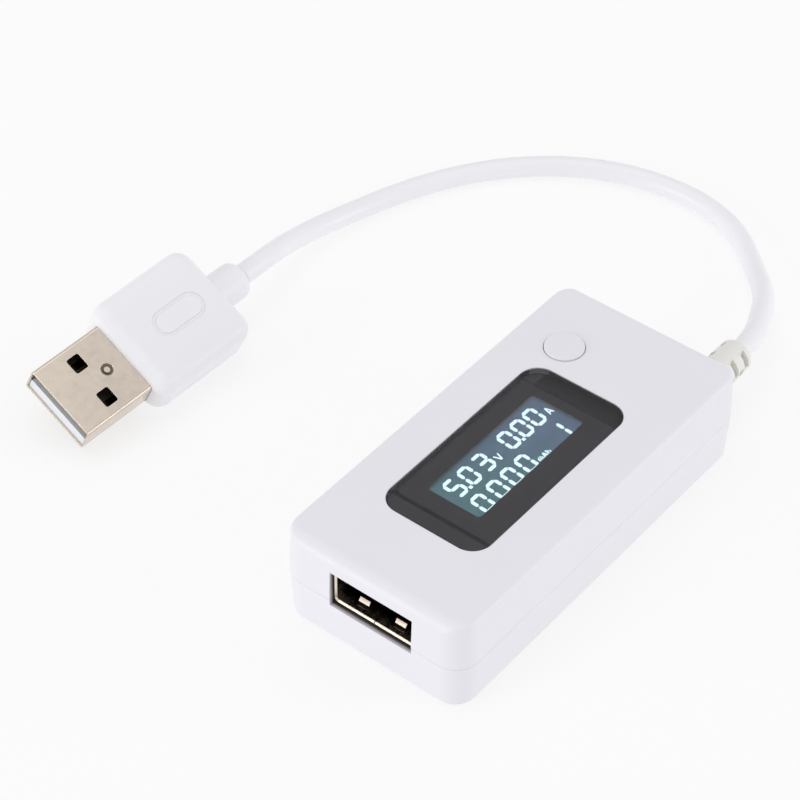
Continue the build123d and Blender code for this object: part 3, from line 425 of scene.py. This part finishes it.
simple_looks = {
    "contact_strip": moulded_plastic("contact_rubber", (0.1, 0.095, 0.1), 0.7),
    "backlight_led": moulded_plastic("led_body", (0.8, 0.75, 0.45), 0.3),
    "meter_chip": moulded_plastic("chip_epoxy", (0.025, 0.025, 0.027), 0.55),
    "shunt_resistor": moulded_plastic("resistor_body", (0.03, 0.03, 0.034), 0.35),
    "chip_capacitors": moulded_plastic("ceramic_body", (0.35, 0.24, 0.14), 0.5),
    "filter_capacitor": moulded_plastic("tantalum_body", (0.55, 0.33, 0.06), 0.45),
    "wire_red": moulded_plastic("wire_red_skin", (0.5, 0.02, 0.015), 0.4),
    "wire_white": moulded_plastic("wire_white_skin", (0.75, 0.75, 0.72), 0.4),
    "wire_green": moulded_plastic("wire_green_skin", (0.02, 0.25, 0.05), 0.4),
    "wire_black": moulded_plastic("wire_black_skin", (0.015, 0.015, 0.015), 0.4),
}
simple_looks["voltage_regulator"] = simple_looks["meter_chip"]
simple_looks["chip_resistors"] = simple_looks["shunt_resistor"]


def clear_sheet(name, tint, gloss_rough, ior):
    """A clear or smoked flat sheet: the surface's own gloss over a tinted see-through body."""
    material, tree, shader = new_material(name)
    tree.nodes.remove(shader)
    see_through = tree.nodes.new("ShaderNodeBsdfTransparent")
    see_through.inputs["Color"].default_value = (*tint, 1)
    gloss = tree.nodes.new("ShaderNodeBsdfGlossy")
    gloss.inputs["Color"].default_value = (1, 1, 1, 1)
    smear = spread(tree, noise(tree, 500, 3), gloss_rough * 0.8, gloss_rough * 1.4)
    tree.links.new(smear, gloss.inputs["Roughness"])
    fresnel = tree.nodes.new("ShaderNodeFresnel")
    fresnel.inputs["IOR"].default_value = ior
    mix = tree.nodes.new("ShaderNodeMixShader")
    tree.links.new(fresnel.outputs["Fac"], mix.inputs["Fac"])
    tree.links.new(see_through.outputs["BSDF"], mix.inputs[1])
    tree.links.new(gloss.outputs["BSDF"], mix.inputs[2])
    tree.links.new(mix.outputs["Shader"], tree.nodes["Material Output"].inputs["Surface"])
    return material


lens_clear = clear_sheet("smoked_lens", (0.9, 0.9, 0.92), 0.12, 1.32)
glass_clear = clear_sheet("display_glass", (0.94, 0.97, 0.97), 0.05, 1.06)


# Painted shade: the board is painted dark under the socket, starting this far behind the socket's mouth.
BOARD_SHADE_UNDER_SOCKET = (-15 * MM, -13 * MM)


def board_material():
    """Green solder mask over a faint pattern of copper tracks, painted dark under the socket as shade."""
    material, tree, shader = new_material("board_laminate")
    place = tree.nodes.new("ShaderNodeTexCoord")
    tracks = tree.nodes.new("ShaderNodeTexBrick")
    tracks.inputs["Scale"].default_value = 160
    tracks.inputs["Mortar Size"].default_value = 0.06
    tracks.inputs["Color1"].default_value = (0.01, 0.12, 0.04, 1)
    tracks.inputs["Color2"].default_value = (0.008, 0.1, 0.035, 1)
    tracks.inputs["Mortar"].default_value = (0.02, 0.2, 0.07, 1)
    tree.links.new(place.outputs["Object"], tracks.inputs["Vector"])
    # The board under the socket is painted dark as shade.
    socket_shade_on_board = depth_along(tree, socket_pos, -INWARD, *BOARD_SHADE_UNDER_SOCKET)
    surface = mix_colours(tree, socket_shade_on_board, tracks.outputs["Color"], (0.012, 0.009, 0.008))
    tree.links.new(surface, shader.inputs["Base Color"])
    tree.links.new(spread(tree, noise(tree, 800), 0.25, 0.4), shader.inputs["Roughness"])
    bump(tree, shader, noise(tree, 3000), 3e-6)
    return material


# The lit area's reach from the middle of the glass, its soft margin, where it fades to dark as painted
# shade, and the two ends of its painted colour gradient.
LIT_REACH = (((-1, 0, 0), 10.8), ((1, 0, 0), 12.0), ((0, 1, 0), 4.75))
FADE_IN, FADE_OUT = 0.35, 0.3
GRADIENT_SLOPE, GRADIENT_REACH = Vector((0.8, 0.6, 0)), 8 * MM
LIT_TEAL, LIT_BLUE = (0.034, 0.14, 0.16), (0.035, 0.095, 0.185)


def lit_panel(name):
    """The lit background of the display: a painted gradient across it, fading to dark at its margins as
    painted shade.
    """
    material, tree, shader = new_material(name)
    low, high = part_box("lcd_front_glass")
    middle = (low + high) / 2
    across = depth_along(tree, middle, GRADIENT_SLOPE, -GRADIENT_REACH, GRADIENT_REACH)
    tree.links.new(mix_colours(tree, across, LIT_TEAL, LIT_BLUE), shader.inputs["Emission Color"])
    level = spread(tree, noise(tree, 900, 3), 0.96, 1.04)
    for direction, reach in LIT_REACH:
        fade = depth_along(tree, middle, direction, (reach - FADE_IN) * MM, (reach + FADE_OUT) * MM)
        level = joined(tree, "MULTIPLY", level, joined(tree, "SUBTRACT", 1.0, fade))
    tree.links.new(level, shader.inputs["Emission Strength"])
    shader.inputs["Base Color"].default_value = (0.01, 0.012, 0.014, 1)
    tree.links.new(spread(tree, noise(tree, 2000), 0.4, 0.55), shader.inputs["Roughness"])
    return material


# ---- looks of the carried-over CAD nodes ---------------------------------------------------


def dress(node, material):
    """Gives a CAD node one material."""
    piece = nodes[node]
    piece.data.materials.clear()
    piece.data.materials.append(material)


looks = {
    "top_cover": case_white,
    "bottom_cover": case_white,
    "display_lens": lens_clear,
    "lens_border": ink,
    "lcd_front_glass": glass_clear,
    "lcd_rear_glass": lit_panel("display_rear"),
    "backlight_panel": lit_panel("light_panel"),
    "display_carrier": carrier_dark,
    "circuit_board": board_material(),
    "meter_chip_leads": tin,
    "voltage_regulator_leads": tin,
    "solder_joints": tin,
    "switch_legs": tin,
    "button_cap": button_white,
    "switch_base": switch_black,
    "switch_plunger": switch_black,
    "switch_plate": steel,
    "switch_dome": steel,
    "socket_shell": socket_nickel,
    "socket_tongue": black_plastic,
    "socket_contacts": gold,
    "strain_relief": relief_white,
    "lead_inner_end": jacket_white,
    "plug_overmould": soft_white,
    "plug_shell": nickel,
    "plug_insulator": insulator_white,
    "plug_contacts": gold,
    **simple_looks,
}
for node, material in looks.items():
    dress(node, material)
lead.data.materials.append(jacket_white)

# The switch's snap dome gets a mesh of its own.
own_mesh(nodes["switch_dome"])


def lit_strokes_material():
    """The lit strokes: a pale glow, slightly uneven."""
    material, tree, shader = new_material("display_film")
    shader.inputs["Base Color"].default_value = (0.3, 0.36, 0.36, 1)
    shader.inputs["Emission Color"].default_value = (0.80, 1.0, 1.0, 1)
    tree.links.new(spread(tree, noise(tree, 700, 3), 1.25, 1.4), shader.inputs["Emission Strength"])
    tree.links.new(spread(tree, noise(tree, 1500), 0.3, 0.5), shader.inputs["Roughness"])
    return material


# ---- the lit reading ----------------------------------------------------------------------

# In millimetres from the middle of the display's glass: the numerals and points of the CAD's
# lit strokes, and the small strokes of the unit letters.
DIGIT_WIDTH, DIGIT_HEIGHT, DIGIT_LEAN = 1.75, 2.95, 0.06
STROKE, STROKE_GAP, POINT_SIDE = 0.52, 0.05, 0.5
TOP_ROW, BOTTOM_ROW = 0.75, -3.75
LIT_STROKES = {"0": (0, 1, 2, 3, 4, 5), "1": (1, 2), "3": (0, 1, 2, 3, 6), "5": (0, 2, 3, 5, 6)}
TOP_DIGITS = (("5", -9.25), ("0", -6.25), ("3", -3.15), ("0", 2.35), ("0", 5.25), ("0", 8.0))
BOTTOM_DIGITS = (("0", -9.15), ("0", -5.85), ("0", -2.85), ("0", 0.25), ("1", 7.85))
POINTS = (-6.9, 4.65)
UNIT_STROKE = 0.2
UNITS = (
    ((-0.58, 1.92), (-0.14, 0.68)), ((0.3, 1.92), (-0.1, 0.68)),
    ((10.8, 0.78), (11.16, 2.18)), ((11.56, 0.78), (11.2, 2.18)), ((10.95, 1.2), (11.42, 1.2)),
    ((2.8, -3.54), (2.8, -3.0)), ((2.86, -2.94), (3.1, -2.94)), ((3.15, -3.54), (3.15, -3.0)),
    ((3.2, -2.94), (3.44, -2.94)), ((3.5, -3.54), (3.5, -3.0)),
    ((3.8, -3.54), (4.06, -2.72)), ((4.36, -3.54), (4.1, -2.72)), ((3.94, -3.3), (4.22, -3.3)),
    ((4.66, -3.54), (4.66, -2.68)), ((4.72, -3.06), (5.02, -3.06)), ((5.08, -3.54), (5.08, -3.12)),
)


def bar(start, end, width, gap):
    """The outline of a stroke with pointed ends."""
    start, end = Vector(start), Vector(end)
    along = (end - start).normalized()
    across = Vector((-along.y, along.x)) * (width / 2)
    first, last, tip = start + along * gap, end - along * gap, along * (width / 2)
    return [first, first + tip - across, last - tip - across,
            last, last - tip + across, first + tip + across]


def numeral(character, x, y):
    """The outlines of a leaning seven-stroke numeral with its lower left corner at x, y."""
    half = DIGIT_HEIGHT / 2
    corner = {(column, row): (x + column * DIGIT_WIDTH + DIGIT_LEAN * row * half, y + row * half)
              for column in (0, 1) for row in (0, 1, 2)}
    ends = (((0, 2), (1, 2)), ((1, 2), (1, 1)), ((1, 1), (1, 0)), ((0, 0), (1, 0)),
            ((0, 1), (0, 0)), ((0, 2), (0, 1)), ((0, 1), (1, 1)))
    return [bar(corner[ends[i][0]], corner[ends[i][1]], STROKE, STROKE_GAP)
            for i in LIT_STROKES[character]]


outlines = []
for character, x in TOP_DIGITS:
    outlines += numeral(character, x, TOP_ROW)
for character, x in BOTTOM_DIGITS:
    outlines += numeral(character, x, BOTTOM_ROW)
SQUARE = ((-1, -1), (1, -1), (1, 1), (-1, 1))
for x in POINTS:
    reach = POINT_SIDE / 2
    outlines.append([Vector((x + dx * reach, TOP_ROW + dy * reach)) for dx, dy in SQUARE])
outlines += [bar(start, end, UNIT_STROKE, 0) for start, end in UNITS]

glass_low, glass_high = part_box("lcd_front_glass")
film_low, film_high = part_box("lcd_segments")
glass_middle = (glass_low + glass_high) / 2
FILM_INSET = 0.02 * MM
film_bottom, film_top = film_low.z + FILM_INSET, film_high.z - FILM_INSET
vertices, faces = [], []
for outline in outlines:
    count, first = len(outline), len(vertices)
    for z in (film_bottom, film_top):
        vertices += [(glass_middle.x + p.x * MM, glass_middle.y + p.y * MM, z) for p in outline]
    faces.append([first + i for i in reversed(range(count))])
    faces.append([first + count + i for i in range(count)])
    for i in range(count):
        after = (i + 1) % count
        faces.append([first + i, first + after, first + count + after, first + count + i])
reading_mesh = bpy.data.meshes.new("lit_reading")
reading_mesh.from_pydata(vertices, [], faces)
reading = link("lit_reading", reading_mesh)
reading.data.materials.append(lit_strokes_material())
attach(reading, "housing")
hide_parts("lcd_segments")

# ---- floor and light ----------------------------------------------------------------------

FLOOR_REACH = 3.0
FLOOR_DROP = 0.03 * MM
FLOOR_GLOW = 0.64
SKY_STRENGTH = 0.76

floor_mesh = bpy.data.meshes.new("floor")
floor_mesh.from_pydata([(dx * FLOOR_REACH, dy * FLOOR_REACH, 0) for dx, dy in SQUARE], [], [(0, 1, 2, 3)])
floor = link("floor", floor_mesh)
floor.location.z = -FLOOR_DROP
floor_look, floor_tree, floor_shader = new_material("floor_paper")
floor_shader.inputs["Base Color"].default_value = (0.34, 0.34, 0.342, 1)
floor_shader.inputs["Emission Color"].default_value = (1, 1, 1, 1)
floor_shader.inputs["Emission Strength"].default_value = FLOOR_GLOW
paper = spread(floor_tree, noise(floor_tree, 300), 0.75, 0.85)
floor_tree.links.new(paper, floor_shader.inputs["Roughness"])
floor_shader.inputs["Specular IOR Level"].default_value = 0.1
floor.data.materials.append(floor_look)

world = bpy.data.worlds.new("world")
bpy.context.scene.world = world
world.use_nodes = True
world.node_tree.nodes["Background"].inputs["Color"].default_value = (1, 1, 1, 1)
world.node_tree.nodes["Background"].inputs["Strength"].default_value = SKY_STRENGTH


def softbox(name, place, size, power):
    """A large square light aimed at the object."""
    data = bpy.data.lights.new(name, "AREA")
    data.size = size
    data.energy = power
    light = link(name, data)
    light.location = place
    light.rotation_mode = "QUATERNION"
    light.rotation_quaternion = (CAMERA_AIM - Vector(place)).to_track_quat("-Z", "Y")


softbox("end_light", (-0.85, 0.45, 0.2), 0.5, 2.6)
softbox("side_light", (0.5, -0.8, 0.25), 0.5, 1.7)
softbox("top_light", (0.05, 0.15, 1.1), 0.9, 1.6)

bpy.context.scene.view_settings.view_transform = "Standard"
